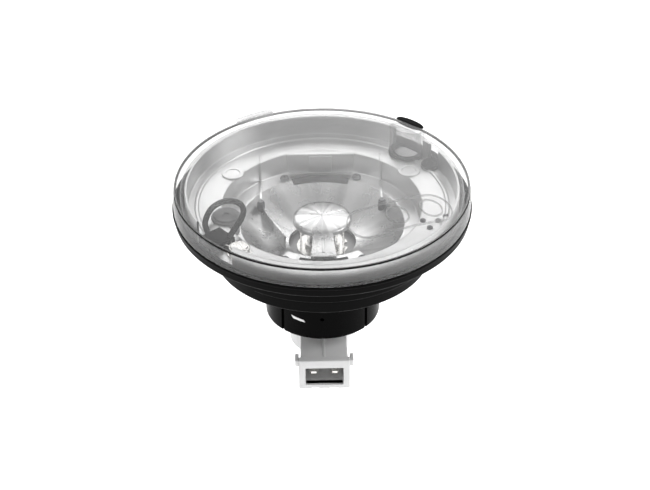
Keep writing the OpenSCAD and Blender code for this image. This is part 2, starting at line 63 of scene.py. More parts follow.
class Signal:
    # one node output that can be used in sums; a colour or a vector is only passed on
    def __init__(self, tree, socket):
        self.tree = tree
        self.socket = socket

    def mathNode(self, operation, first, second=None):
        made = self.tree.nodes.new("ShaderNodeMath")
        made.operation = operation
        for slot, value in enumerate((first, second)):
            if isinstance(value, Signal):
                self.tree.links.new(value.socket, made.inputs[slot])
            elif value is not None:
                made.inputs[slot].default_value = value
        return Signal(self.tree, made.outputs[0])

    def __add__(self, other):
        return self.mathNode("ADD", self, other)

    def __radd__(self, other):
        return self.mathNode("ADD", other, self)

    def __sub__(self, other):
        return self.mathNode("SUBTRACT", self, other)

    def __rsub__(self, other):
        return self.mathNode("SUBTRACT", other, self)

    def __mul__(self, other):
        return self.mathNode("MULTIPLY", self, other)

    def __rmul__(self, other):
        return self.mathNode("MULTIPLY", other, self)

    def __pow__(self, other):
        return self.mathNode("POWER", self, other)

    def __abs__(self):
        return self.mathNode("ABSOLUTE", self)

    def clamped(self):
        made = self.mathNode("ADD", self, 0.0)
        made.socket.node.use_clamp = True
        return made


class Finish:
    # one material; node() takes a type, its settings, then what goes into its sockets
    def __init__(self, name):
        self.material = bpy.data.materials.new(name)
        self.material.use_nodes = True
        self.tree = self.material.node_tree
        self.tree.nodes.clear()
        self.place = self.node("ShaderNodeTexCoord", out="Object")
        self.axes = self.node("ShaderNodeSeparateXYZ", {}, {0: self.place}).socket.node.outputs
        self.x, self.y, self.z = (Signal(self.tree, o) for o in self.axes)

    def node(self, kind, settings=None, values=None, out=0):
        made = self.tree.nodes.new(kind)
        for key, value in (settings or {}).items():
            if key == "stops":
                self.setStops(made.color_ramp, value)
            else:
                setattr(made, key, value)
        for key, value in (values or {}).items():
            if isinstance(value, Signal):
                self.tree.links.new(value.socket, made.inputs[key])
            else:
                made.inputs[key].default_value = value
        return Signal(self.tree, made.outputs[out])

    def setStops(self, ramp, stops):
        while len(ramp.elements) < len(stops):
            ramp.elements.new(0.5)
        for element, (position, shade) in zip(ramp.elements, stops):
            element.position = position
            element.color = shade if len(shade) == 4 else (*shade, 1.0)

    def noise(self, size, detail=3.0, roughness=0.5, stretch=None):
        # size is the width of one blotch in millimetres
        spot = self.place
        if stretch:
            spot = self.node("ShaderNodeVectorMath", {"operation": "MULTIPLY"}, {0: spot, 1: stretch})
        return self.node("ShaderNodeTexNoise", {"noise_dimensions": "3D"},
                         {"Vector": spot, "Scale": 1000.0 / size, "Detail": detail, "Roughness": roughness})

    def smooth(self, value, low, high):
        # 0 below low, 1 above high, soft in between
        return self.node("ShaderNodeMapRange", {"interpolation_type": "SMOOTHSTEP"},
                         {0: value, 1: low, 2: high, 3: 0.0, 4: 1.0})

    def ridge(self, value, centre, half):
        # 1 on a line, falling to 0 at half a width away; all in metres
        return 1 - self.smooth(abs(value - centre), half * 0.2, half)

    def blend(self, factor, first, second):
        return self.node("ShaderNodeMix", {"data_type": "RGBA"}, {0: factor, 6: first, 7: second}, out=2)

    def radius(self):
        return (self.x * self.x + self.y * self.y) ** 0.5

    def bump(self, height, strength, distance=0.0002):
        return self.node("ShaderNodeBump", {}, {"Height": height, "Strength": strength, "Distance": distance})

    def surface(self, values):
        return self.node("ShaderNodeBsdfPrincipled", {}, values)

    def done(self, shader):
        end = self.tree.nodes.new("ShaderNodeOutputMaterial")
        self.tree.links.new(shader.socket, end.inputs["Surface"])
        return self.material


def grey(level, alpha=1.0):
    return (level, level, level, alpha)


def roundCorners(points, steps=5):
    # points are (r, z) or (r, z, fillet); the outline is closed
    outline = []
    for i, point in enumerate(points):
        here = Vector(point[:2])
        fillet = point[2] if len(point) > 2 else 0.0
        if fillet <= 0:
            outline.append((here.x, here.y))
            continue
        before = (Vector(points[i - 1][:2]) - here)
        after = (Vector(points[(i + 1) % len(points)][:2]) - here)
        half = before.angle(after) / 2
        reach = min(fillet / math.tan(half), before.length * 0.48, after.length * 0.48)
        start = here + before.normalized() * reach
        end = here + after.normalized() * reach
        for k in range(steps + 1):
            t = k / steps
            spot = start * (1 - t) ** 2 + here * 2 * t * (1 - t) + end * t ** 2
            outline.append((spot.x, spot.y))
    return outline


def meshPiece(name, rows, faces, smoothAngle=32):
    mesh = bpy.data.meshes.new(name)
    mesh.from_pydata([Vector(p) * mm for p in rows], [], faces)
    made = bmesh.new()
    made.from_mesh(mesh)
    bmesh.ops.remove_doubles(made, verts=made.verts, dist=2e-6)
    bmesh.ops.dissolve_degenerate(made, edges=made.edges, dist=1e-6)
    bmesh.ops.recalc_face_normals(made, faces=made.faces)
    made.to_mesh(mesh)
    made.free()
    piece = bpy.data.objects.new(name, mesh)
    bpy.context.scene.collection.objects.link(piece)
    soften(piece, smoothAngle)
    return piece


def soften(piece, angle=32):
    piece.data.shade_smooth()
    piece.data.set_sharp_from_angle(angle=math.radians(angle))


def spin(name, outline, count=192, angles=None, reshape=None, at=(0, 0), smoothAngle=32):
    # turns a closed outline of (r, z) round the axis
    stations = angles or [360 * k / count for k in range(count)]
    rows, faces = [], []
    size = len(outline)
    for a in stations:
        ca, sa = math.cos(math.radians(a)), math.sin(math.radians(a))
        for r, z in outline:
            if reshape:
                r, z = reshape(r, z, a)
            rows.append((at[0] + r * ca, at[1] + r * sa, z))
    for s in range(len(stations)):
        t = (s + 1) % len(stations)
        for k in range(size):
            n = (k + 1) % size
            faces.append((s * size + k, s * size + n, t * size + n, t * size + k))
    return meshPiece(name, rows, faces, smoothAngle)


def arcBlock(name, outline, centre, arc, edge=0.4, count=20, smoothAngle=40, sweep=None):
    # a part of a spun outline, with softened ends; sweep is how long they are, when not as long as edge
    middle = (sum(p[0] for p in outline) / len(outline), sum(p[1] for p in outline) / len(outline))
    reach = max(abs(p[0] - middle[0]) + abs(p[1] - middle[1]) for p in outline)
    ends = [0.0, 0.04, 0.15, 0.4, 0.7, 1.0]
    span = math.degrees((sweep or edge) / middle[0])
    stations = [(-arc / 2 + span * e, e) for e in ends]
    stations += [(-arc / 2 + span + (arc - 2 * span) * k / count, 1.0) for k in range(1, count)]
    stations += [(arc / 2 - span * e, e) for e in reversed(ends)]
    rows, faces = [], []
    size = len(outline)
    for a, e in stations:
        inset = 1 - edge / reach * (1 - math.sqrt(1 - (1 - e) ** 2))
        turn = math.radians(centre + a)
        for r, z in outline:
            r2, z2 = middle[0] + (r - middle[0]) * inset, middle[1] + (z - middle[1]) * inset
            rows.append((r2 * math.cos(turn), r2 * math.sin(turn), z2))
    for s in range(len(stations) - 1):
        for k in range(size):
            n = (k + 1) % size
            faces.append((s * size + k, s * size + n, (s + 1) * size + n, (s + 1) * size + k))
    faces.append(tuple(range(size)))
    faces.append(tuple(range((len(stations) - 1) * size, len(stations) * size)))
    return meshPiece(name, rows, faces, smoothAngle)


def block(name, low, high, edge=0.3, segments=3, turn=0.0, pivot=(0, 0)):
    # a box with rounded edges, turned about a vertical line through pivot
    made = bmesh.new()
    bmesh.ops.create_cube(made, size=1.0)
    low, high = Vector(low), Vector(high)
    for v in made.verts:
        v.co = Vector((low[i] if v.co[i] < 0 else high[i]) for i in range(3))
    if edge > 0:
        bmesh.ops.bevel(made, geom=list(made.edges), offset=edge, segments=segments, profile=0.5,
                        affect="EDGES", clamp_overlap=True)
    spot = Vector((*pivot, 0))
    turned = Matrix.Rotation(math.radians(turn), 4, "Z")
    matrix = Matrix.Translation(spot) @ turned @ Matrix.Translation(-spot)
    bmesh.ops.transform(made, matrix=Matrix.Scale(mm, 4) @ matrix, verts=made.verts)
    mesh = bpy.data.meshes.new(name)
    made.to_mesh(mesh)
    made.free()
    piece = bpy.data.objects.new(name, mesh)
    bpy.context.scene.collection.objects.link(piece)
    soften(piece)
    return piece


def prism(name, corners, low, high, edge=0.2, segments=3):
    # a flat outline of (x, y) pulled up from low to high, with rounded edges
    made = bmesh.new()
    bottom = [made.verts.new((x, y, low)) for x, y in corners]
    face = made.faces.new(bottom)
    grown = bmesh.ops.extrude_face_region(made, geom=[face])
    for v in grown["geom"]:
        if isinstance(v, bmesh.types.BMVert):
            v.co.z = high
    bmesh.ops.recalc_face_normals(made, faces=made.faces)
    if edge > 0:
        bmesh.ops.bevel(made, geom=list(made.edges), offset=edge, segments=segments, profile=0.5,
                        affect="EDGES", clamp_overlap=True)
    bmesh.ops.scale(made, vec=(mm, mm, mm), verts=made.verts)
    mesh = bpy.data.meshes.new(name)
    made.to_mesh(mesh)
    made.free()
    piece = bpy.data.objects.new(name, mesh)
    bpy.context.scene.collection.objects.link(piece)
    soften(piece)
    return piece


def tubeAlong(name, route, radius, sides=20, perStep=6):
    # a round tube through the points of a route, smoothed between them
    path = smoothRoute(route, perStep)
    rows, faces = [], []
    side = None
    for i, spot in enumerate(path):
        ahead = path[min(i + 1, len(path) - 1)] - path[max(i - 1, 0)]
        ahead.normalize()
        side = ahead.orthogonal() if side is None else side - ahead * side.dot(ahead)
        side.normalize()
        up = ahead.cross(side)
        for k in range(sides):
            a = 2 * math.pi * k / sides
            rows.append(spot + (side * math.cos(a) + up * math.sin(a)) * radius)
    for i in range(len(path) - 1):
        for k in range(sides):
            n = (k + 1) % sides
            faces.append((i * sides + k, i * sides + n, (i + 1) * sides + n, (i + 1) * sides + k))
    faces.append(tuple(range(sides)))
    faces.append(tuple(range((len(path) - 1) * sides, len(path) * sides)))
    return meshPiece(name, rows, faces, 50)


def smoothRoute(route, perStep):
    points = [Vector(p) for p in route]
    path = []
    for i in range(len(points) - 1):
        a, b, c, d = (points[max(0, min(len(points) - 1, i + k))] for k in (-1, 0, 1, 2))
        for s in range(perStep):
            t = s / perStep
            path.append(0.5 * (2 * b + (c - a) * t + (2 * a - 5 * b + 4 * c - d) * t ** 2
                               + (3 * b - a - 3 * c + d) * t ** 3))
    path.append(points[-1])
    return path


def settle(piece, angle=32):
    # keeps what the modifiers make and drops the modifiers
    graph = bpy.context.evaluated_depsgraph_get()
    made = bpy.data.meshes.new_from_object(piece.evaluated_get(graph))
    piece.modifiers.clear()
    piece.data = made
    soften(piece, angle)
    return piece


def cutAway(piece, cutters, edge=0.0, angle=32):
    for cutter in cutters:
        cut = piece.modifiers.new("cut", "BOOLEAN")
        cut.operation = "DIFFERENCE"
        cut.solver = "EXACT"
        cut.object = cutter
    if edge > 0:
        bevel = piece.modifiers.new("edge", "BEVEL")
        bevel.width = edge * mm
        bevel.segments = 3
        bevel.limit_method = "ANGLE"
        bevel.angle_limit = math.radians(38)
    settle(piece, angle)
    for cutter in cutters:
        bpy.data.objects.remove(cutter)
    return piece


def gather(name, parts, angle=32):
    # several closed shells in one piece
    made = bmesh.new()
    for part in parts:
        made.from_mesh(part.data)
    mesh = bpy.data.meshes.new(name)
    made.to_mesh(mesh)
    made.free()
    for part in parts:
        bpy.data.objects.remove(part)
    piece = bpy.data.objects.new(name, mesh)
    bpy.context.scene.collection.objects.link(piece)
    soften(piece, angle)
    return piece


def finishPiece(piece, material, body, slotName, *replaced):
    piece.data.materials.clear()
    piece.data.materials.append(material)
    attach(piece, body)
    if replaced:
        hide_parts(*replaced)
    return piece


def polar(angle, radius):
    return (radius * math.cos(math.radians(angle)), radius * math.sin(math.radians(angle)))


view = {
    "target": (0.0, 0.0, -6.5),         # millimetres
    "azimuth": -1.07, "elevation": 33.97, "roll": -0.36,
    "distance": 900.0, "lens": 140.3, "shiftX": 0.00415, "shiftY": -0.0169,
}


def placeCamera():
    data = bpy.data.cameras.new("camera")
    camera = bpy.data.objects.new("camera", data)
    bpy.context.scene.collection.objects.link(camera)
    a, e = math.radians(view["azimuth"]), math.radians(view["elevation"])
    back = Vector((math.sin(a) * math.cos(e), -math.cos(a) * math.cos(e), math.sin(e)))
    turn = (-back).to_track_quat("-Z", "Y").to_matrix().to_4x4()
    spot = Matrix.Translation((Vector(view["target"]) + back * view["distance"]) * mm)
    camera.matrix_world = spot @ turn @ Matrix.Rotation(math.radians(view["roll"]), 4, "Z")
    data.sensor_width = 36.0
    data.lens = view["lens"]
    data.shift_x, data.shift_y = view["shiftX"], view["shiftY"]
    data.clip_start, data.clip_end = 0.01, 20.0
    data.dof.use_dof = False
    bpy.context.scene.camera = camera


placeCamera()
print("camera placed")


studio = {
    "floorDepth": -57.5, "floorRadius": 6000.0,
    "skyTop": 1.0, "skySide": 0.16, "skyStrength": 0.62,
}


def makeStudio():
    rows = [polar(360 * k / 96, studio["floorRadius"]) + (studio["floorDepth"],) for k in range(96)]
    floor = meshPiece("floor", rows, [tuple(range(96))])
    paint = Finish("floorPaint")
    cloud = paint.noise(220, 2)
    paper = paint.surface({
        "Base Color": paint.blend(cloud, grey(0.88), grey(0.93)), "Roughness": 0.9,
        "Emission Color": paint.blend(cloud, grey(0.97), grey(1.0)), "Emission Strength": 1.0,
    })
    floor.data.materials.append(paint.done(paper))

    world = bpy.data.worlds.new("softbox")
    bpy.context.scene.world = world
    world.use_nodes = True
    tree = world.node_tree
    tree.nodes.clear()
    place = tree.nodes.new("ShaderNodeTexCoord")
    split = tree.nodes.new("ShaderNodeSeparateXYZ")
    ramp = tree.nodes.new("ShaderNodeValToRGB")
    sky = tree.nodes.new("ShaderNodeBackground")
    end = tree.nodes.new("ShaderNodeOutputWorld")
    tree.links.new(place.outputs["Generated"], split.inputs[0])
    tree.links.new(split.outputs["Z"], ramp.inputs[0])
    tree.links.new(ramp.outputs[0], sky.inputs["Color"])
    tree.links.new(sky.outputs[0], end.inputs["Surface"])
    ramp.color_ramp.elements[0].position = 0.0
    ramp.color_ramp.elements[0].color = grey(studio["skySide"])
    ramp.color_ramp.elements[1].position = 0.85
    ramp.color_ramp.elements[1].color = grey(studio["skyTop"])
    sky.inputs["Strength"].default_value = studio["skyStrength"]

    lamps = {                            # place, size and power of each softbox
        "softboxRight": ((900, -150, 500), (500, 900), 7.0),
        "softboxLeft": ((-850, -350, 650), (400, 700), 2.0),
        "softboxBack": ((100, 900, 700), (1200, 400), 4.5),
    }
    for name, (spot, size, power) in lamps.items():
        data = bpy.data.lights.new(name, "AREA")
        data.shape = "RECTANGLE"
        data.size, data.size_y = size[0] * mm, size[1] * mm
        data.energy = power
        lamp = bpy.data.objects.new(name, data)
        bpy.context.scene.collection.objects.link(lamp)
        lamp.location = Vector(spot) * mm
        lamp.rotation_mode = "QUATERNION"
        lamp.rotation_quaternion = Vector(spot).to_track_quat("Z", "Y")
    bpy.context.scene.view_settings.view_transform = "Standard"


makeStudio()
print("studio made")


finishes = {
    "lensVeil": 0.10, "lensShade": 0.66, "lensRough": 0.05,
    "housingBlack": 0.0015, "collarBlack": 0.0008,
    "platedLight": 0.92, "platedDark": 0.42, "whiteDark": 0.62, "whiteLight": 0.72,
}


def clearPlastic(name, veil, shade, edge=0.62):
    # lets the light straight through, with a pale film that thickens where the wall is seen edge-on
    m = Finish(name)
    smear = m.noise(16, 4, 0.55, stretch=(1.0, 1.0, 0.4))
    fine = m.noise(1.1, 3)
    scratch = m.smooth(m.noise(0.5, 2, stretch=(6.0, 0.7, 1.0)), 0.72, 0.80)
    slant = m.node("ShaderNodeLayerWeight", {}, {"Blend": 0.28}, out=1)
    film = (slant ** 1.6) * edge + veil * (0.7 + smear * 0.6) + scratch * 0.03
    dent = m.bump(smear * 0.8 + fine * 0.2, 0.10, 0.0004)
    skin = m.surface({
        "Base Color": m.blend(smear, grey(shade * 0.92), grey(shade)),
        "Roughness": finishes["lensRough"] + fine * 0.05 + scratch * 0.15,
        "Normal": dent, "IOR": 1.49, "Specular IOR Level": 0.6,
    })
    hole = m.node("ShaderNodeBsdfTransparent", {}, {"Color": grey(0.985)})
    return m.done(m.node("ShaderNodeMixShader", {}, {0: film.clamped(), 1: hole, 2: skin}))


def mouldedPlastic(name, dark, light, rough, grain=0.5, bump=0.25, highlightBands=(), shine=0.5):
    # injection-moulded plastic: slow shade changes, fine grain, and painted highlight lines: paler patchy
    # bands along the edges at given heights
    m = Finish(name)
    slow = m.noise(14, 3)
    fine = m.noise(grain, 3, 0.6)
    shade = m.blend(slow, grey(dark), grey(light))
    edgeHighlight = slow * 0.0
    for height, half in highlightBands:
        edgeHighlight = edgeHighlight + m.ridge(m.z, height * mm, half * mm)
    edgeHighlight = (edgeHighlight * m.smooth(m.noise(3.2, 4), 0.40, 0.66)).clamped()
    # painted highlight: the colour is paled in bands at the given edge heights, broken into patches by noise
    shade = m.blend(edgeHighlight * 0.5, shade, grey(min(1.0, light * 3 + 0.012)))
    return m.done(m.surface({
        "Base Color": shade,
        "Roughness": (slow * 0.14 + fine * 0.10 + (rough - 0.12) + edgeHighlight * 0.12).clamped(),
        "Normal": m.bump(fine * 0.7 + slow * 0.3, bump, 0.00012),
        "Specular IOR Level": shine,
    }))


def platedMirror(name):
    # vacuum-plated plastic: soft radial fans (real facets in the bump, painted reflection bands in the
    # colour), concentric tool marks and a few dull blotches
    m = Finish(name)
    r = m.radius()
    flat = m.node("ShaderNodeVectorMath", {"operation": "MULTIPLY"}, {0: m.place, 1: (1.0, 1.0, 0.0)})
    compass = m.node("ShaderNodeVectorMath", {"operation": "NORMALIZE"}, {0: flat})
    fans = m.node("ShaderNodeTexNoise", {}, {
        "Vector": compass, "Scale": 2.6, "Detail": 2.0, "Roughness": 0.45,
    })
    blotch = m.noise(9, 4, 0.6)
    fine = m.noise(0.7, 3)
    rings = m.node("ShaderNodeMath", {"operation": "SINE"}, {0: r * 9000.0})
    inBowl = 1 - m.smooth(r, 0.0290, 0.0300)
    # painted reflection: radial bands of brighter and darker plating in the bowl stand in for the reflections
    # of its facets
    paintedFanReflection = m.smooth(fans, 0.36, 0.64) * inBowl + (1 - inBowl) * 0.5
    reflectionAndBlotchTone = (paintedFanReflection * 0.55 + blotch * 0.45).clamped()
    crumple = m.noise(5.5, 5, 0.62) * (1 - inBowl)
    return m.done(m.surface({
        "Base Color": m.blend(reflectionAndBlotchTone, grey(finishes["platedDark"]), grey(finishes["platedLight"])),
        "Metallic": 1.0,
        "Roughness": 0.22 + blotch * 0.12 + (1 - inBowl) * 0.08,
        "Normal": m.bump(crumple + fine * 0.08 + rings * 0.02 + fans * inBowl * 0.8, 0.30, 0.0006),
    }))


def bareMetal(name, colour, second, rough, wavelength=0.4):
    # drawn or stamped metal: fine lines, finger marks and slight tarnish
    m = Finish(name)
    tarnish = m.noise(2.6, 4, 0.6)
    lines = m.noise(wavelength, 2, stretch=(0.15, 1.0, 1.0))
    return m.done(m.surface({
        "Base Color": m.blend(m.smooth(tarnish, 0.3, 0.75), (*colour, 1.0), (*second, 1.0)),
        "Metallic": 1.0, "Roughness": rough + tarnish * 0.14,
        "Normal": m.bump(lines * 0.7 + tarnish * 0.3, 0.2, 0.00008),
    }))


def softRubber(name, dark, light):
    m = Finish(name)
    bloom = m.noise(3.0, 4, 0.6)
    fine = m.noise(0.35, 3, 0.6)
    return m.done(m.surface({
        "Base Color": m.blend(m.smooth(bloom, 0.35, 0.8), grey(dark), grey(light)),
        "Roughness": 0.55 + fine * 0.2, "Normal": m.bump(fine, 0.3, 0.0001), "Specular IOR Level": 0.12,
    }))


def leadSleeve(name):
    # the lead's black sleeve, with a fine grain
    m = Finish(name)
    fine = m.noise(0.45, 3, 0.6)
    slow = m.noise(4.0, 2)
    return m.done(m.surface({
        "Base Color": m.blend(slow, grey(0.001), grey(0.005)), "Specular IOR Level": 0.2,
        "Roughness": 0.34 + fine * 0.2, "Normal": m.bump(fine, 0.35, 0.00012),
    }))


clearMaterial = clearPlastic("clearPlastic", finishes["lensVeil"], finishes["lensShade"])
markMaterial = clearPlastic("mouldedMark", 0.30, 0.42, 0.40)
# painted shade: the post is the lens's own clear plastic, given a darker skin (0.42 against 0.66) for the
# grey column under the crown
shadedPostMaterial = clearPlastic("clearPostPaintedShade", 0.14, 0.42)
bulbMaterial = clearPlastic("bulbGlass", 0.06, 0.75, 0.5)
# painted highlight lines: along the housing's rim top and barrel bottom, and along the collar's bottom and
# top edges
housingMaterial = mouldedPlastic(
    "housingBlack", finishes["housingBlack"], finishes["housingBlack"] * 2.2, 0.36, 0.45, 0.22,
    highlightBands=((10.3, 0.6), (-13.1, 0.6)), shine=0.03)
collarMaterial = mouldedPlastic(
    "collarBlack", finishes["collarBlack"], finishes["collarBlack"] * 2.2, 0.26, 0.6, 0.12,
    highlightBands=((collarLow.z + 0.4, 0.7), (collarHigh.z - 0.3, 0.6)), shine=0.03)
whiteMaterial = mouldedPlastic("whitePlastic", finishes["whiteDark"], finishes["whiteLight"], 0.40, 0.5, 0.12)
greyMaterial = mouldedPlastic("greyPlastic", 0.22, 0.32, 0.45, 0.5, 0.25)
platedMaterial = platedMirror("platedMirror")
rubberMaterial = softRubber("blackRubber", 0.002, 0.008)
sleeveMaterial = leadSleeve("leadSleeve")
darkSteelMaterial = bareMetal("darkSteel", (0.10, 0.10, 0.11), (0.22, 0.22, 0.22), 0.30)
nickelMaterial = bareMetal("nickel", (0.62, 0.61, 0.59), (0.78, 0.77, 0.75), 0.20)
brassMaterial = bareMetal("brass", (0.80, 0.72, 0.52), (0.62, 0.52, 0.34), 0.22)
tinnedMaterial = bareMetal("tinnedBlade", (0.88, 0.87, 0.84), (0.74, 0.72, 0.68), 0.18)
tungstenMaterial = bareMetal("tungsten", (0.36, 0.34, 0.31), (0.22, 0.20, 0.18), 0.35)
paintMaterial = mouldedPlastic("indexPaint", 0.80, 0.92, 0.5, 0.4, 0.2)
print("finishes made")


lensSize = {
    "bandTop": 13.6, "grooveTop": 14.3, "grooveRadius": 51.25, "skirtRadius": 52.05,
    "edgeRadius": 51.25, "edgeHeight": 15.55, "rise": 9.0, "wall": 2.2, "innerRadius": 50.0,
    "postAt": (31.6, 33.6), "postFoot": 7.0, "postRadius": 6.4, "postWall": 1.4,
    "rimPadAngle": 49.4, "rimPadArc": 13.0,
    "tabAngle": 118.0, "tabArc": 16.0,
    "markAt": (26.0, -27.4), "markTurn": 27.0, "markLength": 40.0, "markWidth": 13.0, "markHeight": 0.3,
    "ringsAlong": (-1.0, 12.3), "ringRadius": 3.9,
}
crownBall = (lensSize["edgeRadius"] ** 2 + lensSize["rise"] ** 2) / (2 * lensSize["rise"])
crownCentre = lensSize["edgeHeight"] + lensSize["rise"] - crownBall


def crownHeight(r, below=0.0):
    return crownCentre + math.sqrt((crownBall - below) ** 2 - r * r)


def lensOutline():
    s = lensSize
    low = [(s["innerRadius"], rimTop, 0.15), (lensRadius, rimTop, 0.3),
           (lensRadius - 0.3, s["bandTop"], 0.25),
           (s["grooveRadius"], s["bandTop"]), (s["grooveRadius"], s["grooveTop"]),
           (s["skirtRadius"], s["grooveTop"], 0.15)]
    outline = roundCorners(low + [(s["edgeRadius"] - 3, s["edgeHeight"])])[:-1]
    shoulder = [(s["skirtRadius"] - 0.05, s["grooveTop"] + 0.25),
                (s["skirtRadius"] - 0.25, s["grooveTop"] + 0.72),
                (s["edgeRadius"] - 0.05, s["edgeHeight"] - 0.13),
                (s["edgeRadius"] - 0.75, s["edgeHeight"] + 0.20)]
    outline += shoulder
    count = 30
    for k in range(1, count + 1):
        r = (s["edgeRadius"] - 1.6) * (1 - k / count)
        outline.append((r, crownHeight(r)))
    for k in range(count + 1):
        r = (s["innerRadius"] - 1.6) * k / count
        outline.append((r, crownHeight(r, s["wall"])))
    under = crownHeight(s["innerRadius"], s["wall"])
    outline += [(s["innerRadius"] - 0.7, under - 0.02), (s["innerRadius"] - 0.15, under - 0.75),
                (s["innerRadius"], under - 1.9)]
    return outline


def makeLens():
    s = lensSize
    shell = spin("lensShell", lensOutline(), 256, smoothAngle=36)
    finishPiece(shell, clearMaterial, "root", "clear_plastic", "lens")

    def topOfPost(r, z, a):
        x = s["postAt"][0] + r * math.cos(math.radians(a))
        y = s["postAt"][1] + r * math.sin(math.radians(a))
        return r, (crownHeight(math.hypot(x, y), 1.0) if z > 14 else z)
    foot = s["postFoot"]
    ring = [(s["postRadius"] - s["postWall"], foot), (s["postRadius"], foot), (s["postRadius"], 20),
            (s["postRadius"] - s["postWall"], 20)]
    post = spin("lensPost", roundCorners([(r, z, 0.15 if z < 14 else 0) for r, z in ring]), 72,
                reshape=topOfPost, at=s["postAt"])
    for v in post.data.vertices:        # the post runs into the lens wall and clears the housing below it
        reach = math.hypot(v.co.x, v.co.y)
        limit = (s["innerRadius"] + (0.3 if v.co.z > 12 * mm else -0.35)) * mm
        if reach > limit:
            v.co.x, v.co.y = v.co.x * limit / reach, v.co.y * limit / reach
    finishPiece(post, shadedPostMaterial, "root", "clear_plastic", "lens")

    tabOutline = roundCorners([(48.7, 15.1, 0.2), (52.6, 15.0, 0.4), (52.6, 16.0, 0.5), (48.7, 16.7, 0.3)])
    finishPiece(arcBlock("lensTab", tabOutline, s["tabAngle"], s["tabArc"], 0.6), markMaterial, "root",
                "clear_plastic", "lens")
    makeMarks()


def raisedLine(name, path, width=0.6):
    # a rounded bead that follows the crown along a closed path of (x, y)
    height = lensSize["markHeight"]
    profile = [(-0.5, -0.25), (-0.42, height * 0.7), (-0.2, height),
               (0.2, height), (0.42, height * 0.7), (0.5, -0.25)]
    rows, faces = [], []
    count, size = len(path), len(profile)
    for i in range(count):
        ahead = Vector(path[(i + 1) % count]) - Vector(path[i - 1])
        side = Vector((-ahead.y, ahead.x)).normalized()
        for across, up in profile:
            x, y = Vector(path[i]) + side * across * width
            rows.append((x, y, crownHeight(math.hypot(x, y)) + up))
    for i in range(count):
        n = (i + 1) % count
        for k in range(size):
            m = (k + 1) % size
            faces.append((i * size + k, i * size + m, n * size + m, n * size + k))
    return meshPiece(name, rows, faces, 60)


def makeMarks():
    s = lensSize
    turn = Matrix.Rotation(math.radians(s["markTurn"]), 2)
    centre = Vector(s["markAt"])
    half, bend = (s["markLength"] - s["markWidth"]) / 2, s["markWidth"] / 2 - 0.3
    outline = []
    for end, start in ((half, -90), (-half, 90)):
        for k in range(33):
            x, y = polar(start + 180 * k / 32, bend)
            outline.append((end + x, y))
        edge = 1 if end > 0 else -1
        outline += [(edge * half * (1 - 2 * k / 24), edge * bend) for k in range(1, 24)]
    paths = [outline]
    for along in s["ringsAlong"]:
        circle = [polar(360 * k / 48, s["ringRadius"]) for k in range(48)]
        paths.append([(along + x, y) for x, y in circle])
    beads = [raisedLine("bead", [tuple(centre + turn @ Vector(p)) for p in path]) for path in paths]
    finishPiece(gather("lensMarks", beads, 60), markMaterial, "root", "clear_plastic", "lens")


makeLens()
sealOutline = roundCorners([(51.25, 13.62), (52.1, 13.62, 0.3), (52.1, 14.28, 0.3), (51.25, 14.28)])
seal = spin("lensSeal", sealOutline, 256)
finishPiece(seal, rubberMaterial, "root", "black_rubber", "lens_seal")
padOutline = roundCorners([(48.7, 14.65, 0.2), (52.55, 14.65, 0.5), (52.5, 15.9, 0.6), (51.2, 16.7, 0.8),
                           (48.7, 16.75, 0.4)])
pad = arcBlock("rimPlug", padOutline, lensSize["rimPadAngle"], lensSize["rimPadArc"], 2.2, 24, sweep=5.0)
finishPiece(pad, rubberMaterial, "root", "black_rubber", "rim_plug")
print("lens made")


housingSize = {
    "bandLow": 6.0, "slopeTop": 3.2, "seatRadius": 46.0, "spigotRadius": 42.3, "spigotEnd": -6.5,
    "barrelRadius": 38.8, "barrelEnd": -13.3, "neckRadius": 19.8, "neckStep": -25.5, "spoutRadius": 16.8,
    "beadHeight": -28.5, "boreRadius": 14.5, "wall": 2.2, "floorHeight": -10.8,
    "screws": ((31.4, 65.5, -3.2), (31.4, 114.5, -3.2), (27.2, 240.0, -6.0), (27.2, 300.0, -6.0)),
    "keyAngle": 215.0, "keyArc": 39.5, "keyDepth": 2.8, "ribReach": 33.0, "ribDrop": 1.4,
}


def housingOutline():
    s = housingSize
    inner = s["barrelRadius"] - s["wall"]
    return roundCorners([
        (50.0, rimTop, 0.2), (rimRadius, rimTop, 0.45), (rimRadius, s["bandLow"], 0.45),
        (rimRadius - 0.5, s["bandLow"], 0.1), (rimRadius - 0.6, s["slopeTop"], 0.9),
        (s["seatRadius"], 0.0, 0.5), (s["spigotRadius"], 0.0, 0.35), (s["spigotRadius"], s["spigotEnd"], 0.5),
        (s["barrelRadius"], s["spigotEnd"], 0.35), (s["barrelRadius"], s["barrelEnd"], 0.75),
        (s["neckRadius"], s["barrelEnd"], 0.6), (s["neckRadius"], s["neckStep"], 0.4),
        (s["spoutRadius"], s["neckStep"], 0.2), (s["spoutRadius"], s["beadHeight"] + 0.5, 0.1),
        (s["spoutRadius"] + 0.6, s["beadHeight"] + 0.2, 0.2),
        (s["spoutRadius"] + 0.6, s["beadHeight"] - 0.2, 0.2),
        (s["spoutRadius"], s["beadHeight"] - 0.5, 0.1), (s["spoutRadius"], neckEnd, 0.25),
        (s["boreRadius"], neckEnd, 0.25), (s["boreRadius"], s["floorHeight"], 0.3),
        (inner, s["floorHeight"], 0.5),
        (inner, -3.0, 0.5), (44.5, 3.2, 0.5), (50.0, 5.4, 0.5),
    ], 5)


